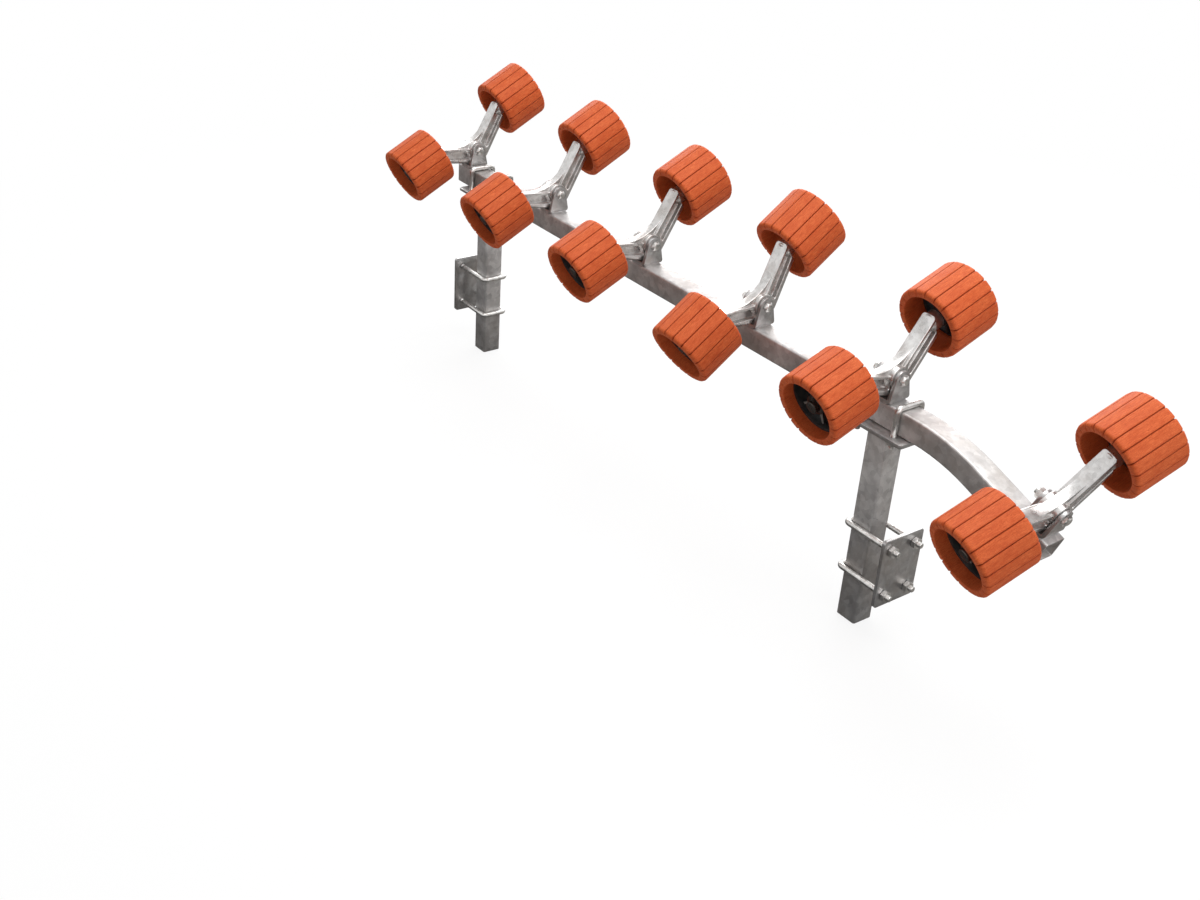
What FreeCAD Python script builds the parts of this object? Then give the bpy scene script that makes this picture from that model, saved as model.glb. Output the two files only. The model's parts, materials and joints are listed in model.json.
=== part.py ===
import FreeCAD, Part
import math
import os
import Sketcher

# Curved roller bank for a boat trailer.
# Six rocking arms, each with a pair of ribbed rollers, stand along a square tube that bends down at its
# front end. Two posts hang from the tube on bolted saddles, and a plate with two U-bolts clamps each
# post to a cross-member of the trailer.
# X runs along the bank towards the bent end, Y across it, Z up the posts. The origin is the centre of
# the seat on the front post that the cross-member is pulled against. Lengths in mm, angles in degrees.

SIZES = {
    # Main tube
    "tube_width": 40, "tube_wall": 3, "tube_corner": 4,
    "rear_overhang": 28, "bend_start": 72, "bend_radius": 350, "bend_angle": 20.5, "tail_reach": 112,
    "front_overhang": 31,
    # Stations of the arms
    "station_pitch": 302, "pivot_height": 38, "arm_axle_reach": 124, "axle_height": 43.5,
    "tip_angle_one": 28, "tip_angle_two": 27.5, "tip_angle_three": 25.5, "tip_angle_four": 35,
    "tip_angle_five": 20.5, "tip_angle_six": 26.5,
    # Rocker arm casting
    "arm_reach": 86, "arm_width": 26, "flange_angle": 33, "flange_crown": 3, "flange_thickness": 5.5,
    "rail_angle": 34.6, "rail_depth": 9, "keel_radius": 33, "keel_clearance": 2,
    "web_thickness": 8, "recess_start": 20, "recess_corner": 7,
    "gusset_width": 16, "gusset_radius": 95, "gusset_sink": 1,
    "boss_radius": 18, "boss_length": 31, "collar_radius": 15, "collar_overlap": 5,
    "axle_radius": 10, "axle_spare": 6,
    # Rollers
    "roller_radius": 60, "roller_width": 90, "roller_edge_radius": 5.5, "roller_bore_radius": 47,
    "rib_count": 19, "groove_width": 2.4, "groove_depth": 2.2,
    "hub_width": 50, "hub_rim": 4, "hub_boss_radius": 17, "hub_boss_length": 48,
    "spoke_count": 6, "spoke_thickness": 6, "spoke_width": 38,
    "washer_radius": 16, "washer_thickness": 2.5, "pin_radius": 2, "pin_length": 32,
    # Pivot brackets and their bolts
    "bracket_thickness": 6, "bracket_half_width": 20.5, "bracket_bend": 2.5,
    "bolt_radius": 6, "bolt_head_flats": 19, "bolt_head_height": 7.5,
    "bolt_nut_height": 10.5, "bolt_spare": 4,
    # Posts, saddles and clamps
    "post_spacing": 1143, "post_length": 352, "saddle_offset": 7, "post_top_to_clamp": 219,
    "plate_thickness": 6, "plate_corner": 6,
    "saddle_length": 128, "saddle_width": 80, "saddle_bolt_spacing": 72,
    "clamp_height": 122, "clamp_width": 86, "clamp_bolt_spacing": 82, "clamp_gap": 46,
    "rod_radius": 5, "rod_bend": 7, "rod_nut_flats": 17, "rod_nut_height": 8, "rod_spare": 7,
    # Clearances
    "running_clearance": 0.08, "hole_clearance": 0.5, "side_clearance": 0.5, "seat_clearance": 0.3,
    "end_clearance": 0.4,
}

HEXAGON_SIDES = 6
HALF_TURN = 180
FULL_TURN = 360

doc = FreeCAD.newDocument("curved_roller_bank")
sheet = doc.addObject("Spreadsheet::Sheet", "Sizes")
for row, (alias, number) in enumerate(SIZES.items(), start=1):
    sheet.set("A%d" % row, alias)
    sheet.set("B%d" % row, str(number))
    sheet.setAlias("B%d" % row, alias)
doc.recompute()


class Size:
    """A length or angle of the sheet, or one worked out from them: its expression and its value now."""

    def __init__(self, text, value):
        self.text = text
        self.value = float(value)

    def joined(self, other, sign, value):
        return Size("(%s %s %s)" % (self.text, sign, as_size(other).text), value)

    def __add__(self, other):
        return self.joined(other, "+", self.value + as_size(other).value)

    def __sub__(self, other):
        return self.joined(other, "-", self.value - as_size(other).value)

    def __mul__(self, other):
        return self.joined(other, "*", self.value * as_size(other).value)

    def __truediv__(self, other):
        return self.joined(other, "/", self.value / as_size(other).value)

    def __neg__(self):
        return Size("(0 - %s)" % self.text, -self.value)

    def __radd__(self, other):
        return as_size(other) + self

    def __rsub__(self, other):
        return as_size(other) - self

    def __rmul__(self, other):
        return as_size(other) * self

    def __rtruediv__(self, other):
        return as_size(other) / self


def as_size(number):
    return number if isinstance(number, Size) else Size(repr(number), number)


def size(alias):
    return Size("Sizes." + alias, sheet.get(alias))


def sine(angle):
    return Size("sin(%s)" % angle.text, math.sin(math.radians(angle.value)))


def cosine(angle):
    return Size("cos(%s)" % angle.text, math.cos(math.radians(angle.value)))


def tangent(angle):
    return sine(angle) / cosine(angle)


def bind(item, name, value):
    item.setExpression(name, as_size(value).text)


def plane(body, role):
    return next(feature for feature in body.Origin.OriginFeatures if feature.Role == role)


def new_body(name):
    return doc.addObject("PartDesign::Body", name)


def new_sketch(body, role, name, along=0, up=0):
    """A sketch on one of the body's own origin planes, moved along its normal and up in its own plane."""
    sketch = body.newObject("Sketcher::SketchObject", name)
    sketch.AttachmentSupport = (plane(body, role), "")
    sketch.MapMode = "FlatFace"
    bind(sketch, "AttachmentOffset.Base.z", along)
    bind(sketch, "AttachmentOffset.Base.y", up)
    return sketch


def constrain(sketch, value, *arguments):
    """Adds a sized constraint and ties it to its expression."""
    index = sketch.addConstraint(Sketcher.Constraint(*arguments, as_size(value).value))
    sketch.setExpression("Constraints[%d]" % index, as_size(value).text)


def fix_point(sketch, element, end, across, up):
    constrain(sketch, across, "DistanceX", -1, 1, element, end)
    constrain(sketch, up, "DistanceY", -1, 1, element, end)


def vector(across, up):
    return FreeCAD.Vector(as_size(across).value, as_size(up).value, 0)


def add_circle(sketch, across, up, radius):
    centre = vector(across, up)
    circle = sketch.addGeometry(Part.Circle(centre, FreeCAD.Vector(0, 0, 1), as_size(radius).value))
    fix_point(sketch, circle, 3, across, up)
    constrain(sketch, radius, "Radius", circle)


def rounded(before, corner, after, radius):
    """Where an arc of the given radius leaves and joins the two sides of a corner, and its middle."""
    to_before = (before - corner).normalize()
    to_after = (after - corner).normalize()
    half = to_before.getAngle(to_after) / 2
    run = radius / math.tan(half)
    middle = corner + (to_before + to_after).normalize() * (radius / math.sin(half) - radius)
    return corner + to_before * run, middle, corner + to_after * run


def add_outline(sketch, corners, closed=True):
    """Straight sides through the corners (across, up[, radius]), with an arc where a radius is given.

    Each corner is held where it is sized, also where an arc cuts it off, so a changed size moves it.
    """
    count = len(corners)
    points = [vector(corner[0], corner[1]) for corner in corners]
    ends = []
    for index, corner in enumerate(corners):
        if len(corner) == 3:
            before = points[index - 1]
            after = points[(index + 1) % count]
            ends.append(rounded(before, points[index], after, as_size(corner[2]).value))
        else:
            ends.append((points[index], None, points[index]))
    sides = []
    for index in range(count if closed else count - 1):
        start = ends[index][2]
        finish = ends[(index + 1) % count][0]
        sides.append(sketch.addGeometry(Part.LineSegment(start, finish)))
    for index, corner in enumerate(corners):
        last = sides[index - 1] if closed or index > 0 else None
        following = sides[index] if closed or index < count - 1 else None
        if len(corner) == 2:
            if last is not None and following is not None:
                sketch.addConstraint(Sketcher.Constraint("Coincident", last, 2, following, 1))
            if following is not None:
                fix_point(sketch, following, 1, corner[0], corner[1])
            else:
                fix_point(sketch, last, 2, corner[0], corner[1])
            continue
        arc = sketch.addGeometry(Part.Arc(*ends[index]))
        entry, leave = arc_ends(sketch, arc, ends[index][0])
        sketch.addConstraint(Sketcher.Constraint("Tangent", last, 2, arc, entry))
        sketch.addConstraint(Sketcher.Constraint("Tangent", arc, leave, following, 1))
        constrain(sketch, corner[2], "Radius", arc)
        mark = sketch.addGeometry(Part.Point(points[index]), True)
        sketch.addConstraint(Sketcher.Constraint("PointOnObject", mark, 1, last))
        sketch.addConstraint(Sketcher.Constraint("PointOnObject", mark, 1, following))
        fix_point(sketch, mark, 1, corner[0], corner[1])


def arc_ends(sketch, arc, first):
    """Which end of the arc lies at the first point: a sketch keeps its arcs anticlockwise."""
    start = sketch.getPoint(arc, 1)
    return (1, 2) if (start - first).Length < 1e-6 else (2, 1)


def add_rectangle(sketch, left, right, low, high):
    add_outline(sketch, [(left, low), (right, low), (right, high), (left, high)])


def pad(body, sketch, length, symmetric=True):
    feature = body.newObject("PartDesign::Pad", sketch.Name + "_pad")
    feature.Profile = sketch
    bind(feature, "Length", length)
    feature.SideType = "Symmetric" if symmetric else "One side"
    return feature


def pocket_through(body, sketch):
    feature = body.newObject("PartDesign::Pocket", sketch.Name + "_pocket")
    feature.Profile = sketch
    feature.SideType = "Symmetric"
    feature.Type = "ThroughAll"
    return feature


def polar_pattern(body, originals, role, count):
    feature = body.newObject("PartDesign::PolarPattern", originals[0].Name + "_ring")
    feature.Originals = originals
    feature.Axis = (plane(body, role), [""])
    feature.Angle = FULL_TURN
    bind(feature, "Occurrences", count)
    body.Tip = feature
    return feature


def mirror(body, originals, role):
    feature = body.newObject("PartDesign::Mirrored", originals[0].Name + "_mirror")
    feature.Originals = originals
    feature.MirrorPlane = (plane(body, role), [""])
    body.Tip = feature
    return feature


def place_text(across=0, along=0, up=0, axis=(0, 0, 1), angle=0):
    """The expression of a place: a position, then a turn about an axis."""
    position = "vector(%s; %s; %s)" % (as_size(across).text, as_size(along).text, as_size(up).text)
    turn = "rotation(vector(%d; %d; %d); %s)" % (axis[0], axis[1], axis[2], as_size(angle).text)
    return "placement(%s; %s)" % (position, turn)


def place(item, *texts):
    """Sets the item down by one place after another, each in the frame of the one before."""
    item.setExpression("Placement", " * ".join(texts))


def copy_of(form, *texts):
    item = doc.addObject("Part::Compound", form.Name + "_copy")
    item.Links = [form]
    place(item, *texts)
    return item


def group_of(items, name):
    item = doc.addObject("Part::Compound", name)
    item.Links = items
    return item


node_items = {}


def keep(item, name):
    """Makes the item a sub-part of the bank under its own name."""
    item.Label = name
    node_items[name] = item


# Places that the parts share
half_tube = size("tube_width") / 2
saddle_level = size("post_top_to_clamp") + size("plate_thickness")
tube_middle = saddle_level + half_tube
pivot_level = saddle_level + size("tube_width") + size("pivot_height")
front_post_centre = -half_tube
rear_post_centre = front_post_centre - size("post_spacing")
fifth_station = front_post_centre - size("saddle_offset")
first_station = fifth_station - size("station_pitch") * 4
tube_start = first_station - size("rear_overhang")

bend_angle = size("bend_angle")
bend_begins = fifth_station + size("bend_start")
middle_radius = size("bend_radius") - half_tube
bend_ends = bend_begins + middle_radius * sine(bend_angle)
bend_end_level = tube_middle - middle_radius * (1 - cosine(bend_angle))
pivot_rise = half_tube + size("pivot_height")
sixth_station = bend_ends + size("tail_reach") * cosine(bend_angle) + pivot_rise * sine(bend_angle)
sixth_level = bend_end_level - size("tail_reach") * sine(bend_angle) + pivot_rise * cosine(bend_angle)

ear_inside = size("boss_length") / 2 + size("side_clearance")
ear_outside = ear_inside + size("bracket_thickness")
collar_face = size("arm_axle_reach") - size("hub_boss_length") / 2 - size("end_clearance")
washer_face = size("arm_axle_reach") + size("hub_boss_length") / 2 + size("end_clearance")
pin_reach = washer_face + size("washer_thickness") + size("end_clearance") + size("pin_radius")
leg_offset = half_tube + size("side_clearance") + size("rod_radius")
crown_gap = size("rod_radius") + size("seat_clearance")

TIPS = ("tip_angle_one", "tip_angle_two", "tip_angle_three", "tip_angle_four", "tip_angle_five",
        "tip_angle_six")
STATIONS = range(1, len(TIPS) + 1)


def station(number):
    """The place of a pivot: the last one stands on the sloping tail, the others on the straight run."""
    if number == len(TIPS):
        return place_text(sixth_station, 0, sixth_level, (0, 1, 0), bend_angle)
    return place_text(first_station + size("station_pitch") * (number - 1), 0, pivot_level)


def tipped(number):
    """The turn of an arm about its pivot bolt as the bank stands, with its right-hand roller low."""
    return place_text(axis=(1, 0, 0), angle=size(TIPS[number - 1]))


def add_tube_section(sketch, across, up):
    """Outer and inner outlines of the square tube about a middle."""
    for inset in (as_size(0), size("tube_wall")):
        edge = half_tube - inset
        radius = size("tube_corner") - inset
        add_outline(sketch, [(across - edge, up - edge, radius), (across + edge, up - edge, radius),
                             (across + edge, up + edge, radius), (across - edge, up + edge, radius)])


# Main tube: one length of square tube, straight over the posts, then bent down and straight again
def make_beam():
    body = new_body("beam_form")
    section = new_sketch(body, "YZ_Plane", "beam_section", along=tube_start)
    add_tube_section(section, as_size(0), tube_middle)
    route = new_sketch(body, "XZ_Plane", "beam_route")
    corner = bend_begins + middle_radius * tangent(bend_angle / 2)
    tail_run = size("tail_reach") + size("front_overhang")
    tail = bend_ends + tail_run * cosine(bend_angle)
    tail_level = bend_end_level - tail_run * sine(bend_angle)
    add_outline(route, [(tube_start, tube_middle), (corner, tube_middle, middle_radius),
                        (tail, tail_level)], closed=False)
    pipe = body.newObject("PartDesign::AdditivePipe", "beam_pipe")
    pipe.Profile = section
    pipe.Spine = route
    return body


# Post: the same square tube, welded under its saddle plate
def make_post():
    body = new_body("post_form")
    bottom = size("post_top_to_clamp") - size("post_length")
    section = new_sketch(body, "XY_Plane", "post_section", along=bottom)
    add_tube_section(section, as_size(0), as_size(0))
    pad(body, section, size("post_length"), symmetric=False)
    return body


# Saddle: a flat plate on the post's top, drilled for the legs of two U-bolts
def make_saddle():
    body = new_body("saddle_form")
    outline = new_sketch(body, "XY_Plane", "saddle_outline", along=size("post_top_to_clamp"))
    add_plate(outline, size("saddle_length") / 2, size("saddle_width") / 2,
              size("saddle_bolt_spacing") / 2, leg_offset)
    pad(body, outline, size("plate_thickness"), symmetric=False)
    return body


# Clamp plate: pulled towards the post by two U-bolts, with the cross-member between them
def make_clamp_plate():
    body = new_body("clamp_plate_form")
    outline = new_sketch(body, "YZ_Plane", "clamp_outline", along=size("clamp_gap"))
    add_plate(outline, size("clamp_width") / 2, size("clamp_height") / 2,
              leg_offset, size("clamp_bolt_spacing") / 2)
    pad(body, outline, size("plate_thickness"), symmetric=False)
    return body


def add_plate(sketch, half_across, half_up, hole_across, hole_up):
    corner = size("plate_corner")
    add_outline(sketch, [(-half_across, -half_up, corner), (half_across, -half_up, corner),
                         (half_across, half_up, corner), (-half_across, half_up, corner)])
    for side in (-1, 1):
        for level in (-1, 1):
            add_circle(sketch, hole_across * side, hole_up * level,
                       size("rod_radius") + size("hole_clearance"))


# U-bolt: round rod bent square around the tube, legs down, its crown's middle line at the origin
def make_u_bolt(name, leg):
    body = new_body(name)
    section = new_sketch(body, "XY_Plane", name + "_section", along=-leg)
    add_circle(section, 0, -leg_offset, size("rod_radius"))
    route = new_sketch(body, "YZ_Plane", name + "_route")
    bend = size("rod_bend")
    add_outline(route, [(-leg_offset, -leg), (-leg_offset, 0, bend), (leg_offset, 0, bend),
                        (leg_offset, -leg)], closed=False)
    pipe = body.newObject("PartDesign::AdditivePipe", name + "_pipe")
    pipe.Profile = section
    pipe.Spine = route
    return body


# Pivot bracket: one strip folded to a U, with its base on the tube and two ears rounded about the bolt
def make_bracket():
    body = new_body("bracket_form")
    thickness = size("bracket_thickness")
    bend = size("bracket_bend")
    foot = -size("pivot_height")
    top = size("bracket_half_width")
    fold = new_sketch(body, "XZ_Plane", "bracket_fold")
    add_outline(fold, [(-ear_outside, foot, bend + thickness), (ear_outside, foot, bend + thickness),
                       (ear_outside, top), (ear_inside, top), (ear_inside, foot + thickness, bend),
                       (-ear_inside, foot + thickness, bend), (-ear_inside, top), (-ear_outside, top)])
    pad(body, fold, size("bracket_half_width") * 2)
    waste = new_sketch(body, "YZ_Plane", "bracket_waste")
    add_half_round_waste(waste, size("bracket_half_width"))
    pocket_through(body, waste)
    bore = new_sketch(body, "YZ_Plane", "bracket_bore")
    add_circle(bore, 0, 0, size("bolt_radius") + size("running_clearance"))
    pocket_through(body, bore)
    return body


def add_half_round_waste(sketch, radius):
    """What is cut away above a half round: straight sides outside it and an arc over its top."""
    high = radius * 2
    add_outline(sketch, [(-radius, 0), (-radius, high), (radius, high), (radius, 0)], closed=False)
    arc = sketch.addGeometry(Part.Arc(vector(radius, 0), vector(0, radius), vector(-radius, 0)))
    sketch.addConstraint(Sketcher.Constraint("Coincident", arc, 1, 2, 2))
    sketch.addConstraint(Sketcher.Constraint("Coincident", arc, 2, 0, 1))
    constrain(sketch, 0, "DistanceY", -1, 1, arc, 3)


# Rocker arm: one casting shaped like a V, a flange above and a rail below with a thin web between, a
# gusset that fills the valley, a pivot boss and, at each end, a collar and the axle of a roller
def make_arm():
    body = new_body("arm_form")
    reach = size("arm_reach")
    rise = tangent(size("flange_angle"))
    lean = cosine(size("rail_angle"))
    climb = tangent(size("rail_angle"))
    crown = size("flange_crown")
    keel = (size("pivot_height") - size("bracket_thickness") - size("keel_clearance")) / lean
    end = crown + reach * rise
    outline = new_sketch(body, "YZ_Plane", "arm_outline")
    add_outline(outline, [(-reach, reach * climb - keel), (0, -keel, size("keel_radius")),
                          (reach, reach * climb - keel), (reach, end), (0, crown), (-reach, end)])
    pad(body, outline, size("arm_width"))

    floor = size("rail_depth") / lean - keel
    ceiling = crown - size("flange_thickness") / cosine(size("flange_angle"))
    near = size("recess_start")
    far = reach + size("collar_overlap")
    corner = size("recess_corner")
    recess = new_sketch(body, "YZ_Plane", "arm_recess", along=-size("web_thickness") / 2)
    add_outline(recess, [(near, floor + near * climb, corner), (far, floor + far * climb),
                         (far, ceiling + far * rise), (near, ceiling + near * rise, corner)])
    add_outline(recess, [(-near, floor + near * climb, corner), (-near, ceiling + near * rise, corner),
                         (-far, ceiling + far * rise), (-far, floor + far * climb)])
    cut = body.newObject("PartDesign::Pocket", "arm_recess_pocket")
    cut.Profile = recess
    cut.Type = "ThroughAll"
    mirror(body, [cut], "YZ_Plane")

    peak = crown - size("gusset_sink")
    start = reach - size("collar_overlap")
    gusset = new_sketch(body, "YZ_Plane", "arm_gusset")
    add_outline(gusset, [(-start, ceiling + start * rise), (0, ceiling), (start, ceiling + start * rise),
                         (start, peak + start * rise), (0, peak, size("gusset_radius")),
                         (-start, peak + start * rise)])
    pad(body, gusset, size("gusset_width"))

    stub = new_sketch(body, "YZ_Plane", "arm_stub", up=size("axle_height"))
    tip = pin_reach + size("axle_spare")
    axle = size("axle_radius")
    collar = size("collar_radius")
    add_outline(stub, [(start, 0), (tip, 0), (tip, axle), (collar_face, axle), (collar_face, collar),
                       (start, collar)])
    turned = body.newObject("PartDesign::Revolution", "arm_stub_turned")
    turned.Profile = stub
    turned.ReferenceAxis = (stub, ["H_Axis"])
    turned.Angle = FULL_TURN
    mirror(body, [turned], "XZ_Plane")

    boss = new_sketch(body, "YZ_Plane", "arm_boss")
    add_circle(boss, 0, 0, size("boss_radius"))
    pad(body, boss, size("boss_length"))
    bore = new_sketch(body, "YZ_Plane", "arm_bore")
    add_circle(bore, 0, 0, size("bolt_radius") + size("running_clearance"))
    pocket_through(body, bore)
    holes = new_sketch(body, "XY_Plane", "arm_pin_holes")
    for side in (-1, 1):
        add_circle(holes, 0, pin_reach * side, size("pin_radius") + size("running_clearance"))
    pocket_through(body, holes)
    return body


# Roller tyre: a thick moulded ring with rounded edges, cut into ribs by grooves along its length
def make_tyre():
    body = new_body("tyre_form")
    half = size("roller_width") / 2
    radius = size("roller_radius")
    bore = size("roller_bore_radius")
    edge = size("roller_edge_radius")
    profile = new_sketch(body, "YZ_Plane", "tyre_profile")
    add_outline(profile, [(-half, bore), (half, bore), (half, radius, edge), (-half, radius, edge)])
    ring = body.newObject("PartDesign::Revolution", "tyre_ring")
    ring.Profile = profile
    ring.ReferenceAxis = (profile, ["H_Axis"])
    ring.Angle = FULL_TURN
    groove = new_sketch(body, "XZ_Plane", "tyre_groove")
    depth = size("groove_depth")
    add_outline(groove, [(0, radius - depth), (size("groove_width"), radius + depth),
                         (-size("groove_width"), radius + depth)])
    cut = pocket_through(body, groove)
    polar_pattern(body, [cut], "Y_Axis", size("rib_count"))
    return body


# Roller hub: a boss that turns on the axle, spokes, and a rim that fills the middle of the tyre's bore
def make_hub():
    body = new_body("hub_form")
    boss = new_sketch(body, "XZ_Plane", "hub_boss")
    add_circle(boss, 0, 0, size("hub_boss_radius"))
    pad(body, boss, size("hub_boss_length"))
    spoke = new_sketch(body, "XZ_Plane", "hub_spoke")
    half = size("spoke_thickness") / 2
    outer = size("roller_bore_radius") - size("hub_rim") / 2
    add_rectangle(spoke, -half, half, size("hub_boss_radius") / 2, outer)
    spoke_pad = pad(body, spoke, size("spoke_width"))
    polar_pattern(body, [spoke_pad], "Y_Axis", size("spoke_count"))
    rim = new_sketch(body, "XZ_Plane", "hub_rim")
    add_circle(rim, 0, 0, size("roller_bore_radius"))
    add_circle(rim, 0, 0, size("roller_bore_radius") - size("hub_rim"))
    pad(body, rim, size("hub_width"))
    bore = new_sketch(body, "XZ_Plane", "hub_bore")
    add_circle(bore, 0, 0, size("axle_radius") + size("running_clearance"))
    pocket_through(body, bore)
    return body


def cylinder(name, radius, height, *texts):
    item = doc.addObject("Part::Cylinder", name)
    bind(item, "Radius", radius)
    bind(item, "Height", height)
    if texts:
        place(item, *texts)
    return item


def hexagon(name, flats, height, *texts):
    item = doc.addObject("Part::Prism", name)
    item.Polygon = HEXAGON_SIDES
    bind(item, "Circumradius", flats / 2 / cosine(as_size(HALF_TURN / HEXAGON_SIDES)))
    bind(item, "Height", height)
    if texts:
        place(item, *texts)
    return item


def combine(kind, name, base, tool):
    item = doc.addObject(kind, name)
    item.Base = base
    item.Tool = tool
    return item


def ring(name, outer, inner_radius, height):
    """A nut or washer: an outer form standing on the plane with a round hole through it."""
    return combine("Part::Cut", name, outer, cylinder(name + "_hole", inner_radius, height))


# Washer and pin that keep a roller on its axle, both ends of one arm together
def make_keepers():
    thickness = size("washer_thickness")
    washer = ring("washer_form", cylinder("washer_disc", size("washer_radius"), thickness),
                  size("axle_radius") + size("running_clearance"), thickness)
    pin = cylinder("pin_form", size("pin_radius"), size("pin_length"))
    middle = size("axle_height")
    pin_foot = middle - size("pin_length") / 2
    pieces = []
    for side in (-1, 1):
        seat = place_text(0, washer_face * side, middle, (1, 0, 0), -90 * side)
        pieces.append(copy_of(washer, seat))
        pieces.append(copy_of(pin, place_text(0, pin_reach * side, pin_foot)))
    return group_of(pieces, "keepers_form")


# Pivot bolt along X, its head towards the bank's front end, and its nut behind
def make_pivot_bolt():
    turn = place_text(ear_outside, 0, 0, (0, 1, 0), 90)
    head = hexagon("bolt_head", size("bolt_head_flats"), size("bolt_head_height"), turn)
    reach = ear_outside * 2 + size("bolt_nut_height") + size("bolt_spare")
    foot = place_text(ear_outside - reach, 0, 0, (0, 1, 0), 90)
    shank = cylinder("bolt_shank", size("bolt_radius"), reach, foot)
    return combine("Part::Fuse", "pivot_bolt_form", head, shank)


def make_pivot_nut():
    blank = hexagon("pivot_nut_blank", size("bolt_head_flats"), size("bolt_nut_height"))
    nut = ring("pivot_nut_ring", blank, size("bolt_radius"), size("bolt_nut_height"))
    return copy_of(nut, place_text(-ear_outside, 0, 0, (0, 1, 0), -90))


def make_rod_nut():
    blank = hexagon("rod_nut_blank", size("rod_nut_flats"), size("rod_nut_height"))
    return ring("rod_nut_form", blank, size("rod_radius"), size("rod_nut_height"))


# The bank, put together
keep(make_beam(), "beam")
bracket = make_bracket()
arm = make_arm()
tyre = make_tyre()
hub = make_hub()
keepers = make_keepers()
pivot_bolt = make_pivot_bolt()
pivot_nut = make_pivot_nut()
for number in STATIONS:
    keep(copy_of(bracket, station(number)), "pivot_bracket_%d" % number)
    keep(copy_of(arm, station(number), tipped(number)), "rocker_arm_%d" % number)
    keep(copy_of(keepers, station(number), tipped(number)), "axle_keepers_%d" % number)
    for side, word in ((1, "left"), (-1, "right")):
        axle = place_text(0, size("arm_axle_reach") * side, size("axle_height"))
        keep(copy_of(tyre, station(number), tipped(number), axle), "tyre_%s_%d" % (word, number))
        keep(copy_of(hub, station(number), tipped(number), axle), "hub_%s_%d" % (word, number))
bolts = [copy_of(pivot_bolt, station(number)) for number in STATIONS]
nuts = [copy_of(pivot_nut, station(number)) for number in STATIONS]
keep(group_of(bolts, "pivot_bolts_group"), "pivot_bolts")
keep(group_of(nuts, "pivot_nuts_group"), "pivot_nuts")

post = make_post()
saddle = make_saddle()
clamp_plate = make_clamp_plate()
rod_nut = make_rod_nut()
under_crown = crown_gap + size("tube_width")
past_plate = size("plate_thickness") + size("rod_nut_height") + size("rod_spare")
saddle_bolt = make_u_bolt("saddle_bolt_form", under_crown + past_plate)
clamp_bolt = make_u_bolt("clamp_bolt_form", under_crown + size("clamp_gap") + past_plate)
half_saddle = size("saddle_bolt_spacing") / 2
half_clamp = size("clamp_bolt_spacing") / 2
saddle_crown = saddle_level + size("tube_width") + crown_gap
saddle_nut_foot = size("post_top_to_clamp") - size("rod_nut_height")
clamp_face = size("clamp_gap") + size("plate_thickness")
saddle_bolts = []
saddle_nuts = []
for centre, word, side in ((front_post_centre, "front", 1), (rear_post_centre, "rear", -1)):
    keep(copy_of(post, place_text(centre)), word + "_post")
    keep(copy_of(saddle, place_text(centre)), word + "_saddle")
    for end in (-1, 1):
        across = centre + half_saddle * end
        saddle_bolts.append(copy_of(saddle_bolt, place_text(across, 0, saddle_crown)))
        for edge in (-1, 1):
            under = place_text(across, leg_offset * edge, saddle_nut_foot)
            saddle_nuts.append(copy_of(rod_nut, under))
    seat = place_text(centre + half_tube * side, 0, 0, (0, 0, 1), 90 - 90 * side)
    keep(copy_of(clamp_plate, seat), word + "_clamp_plate")
    bolts = []
    nuts = []
    for level in (-1, 1):
        crown = place_text(-under_crown, 0, half_clamp * level, (0, 1, 0), -90)
        bolts.append(copy_of(clamp_bolt, seat, crown))
        for edge in (-1, 1):
            outside = place_text(clamp_face, leg_offset * edge, half_clamp * level, (0, 1, 0), 90)
            nuts.append(copy_of(rod_nut, seat, outside))
    keep(group_of(bolts, word + "_clamp_bolts_group"), word + "_clamp_u_bolts")
    keep(group_of(nuts, word + "_clamp_nuts_group"), word + "_clamp_nuts")
keep(group_of(saddle_bolts, "saddle_bolts_group"), "saddle_u_bolts")
keep(group_of(saddle_nuts, "saddle_nuts_group"), "saddle_nuts")

doc.recompute()
faults = [item.Label for item in doc.Objects if "Invalid" in item.State or "Error" in item.State]
faults += [name for name, item in node_items.items() if item.Shape.isNull() or not item.Shape.isValid()]
if faults:
    raise RuntimeError("these did not build: " + ", ".join(faults))

# A cut that misses its solid shows no error, so each cut form is weighed before and after
for body in (bracket, arm, tyre, hub):
    for feature in body.Group:
        if feature.TypeId != "PartDesign::Pocket":
            continue
        if feature.Shape.Volume >= feature.BaseFeature.Shape.Volume:
            raise RuntimeError(feature.Label + " cuts nothing")

os.makedirs("parts", exist_ok=True)
for name, item in node_items.items():
    item.Shape.exportStep("parts/%s.step" % name)
    print("%-22s %d solids %10.1f mm3" % (name, len(item.Shape.Solids), item.Shape.Volume))
print(len(node_items), "nodes")
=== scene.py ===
# %% [markdown]
# # A curved roller bank for a boat trailer
# The real object is a bent square tube that carries six rocking arms. Each arm ends in two ribbed
# rollers, and two posts hang from the tube and clamp to the trailer. Everything here is dressed over a
# fixed frame that already has the right sizes and places, so this lesson is about form and finish: cast
# and galvanised steel, bright zinc fasteners, orange elastomer and black moulded hubs.

# %% Load the frame
import json
import math

import bmesh
import bpy
from mathutils import Matrix, Vector


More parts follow.
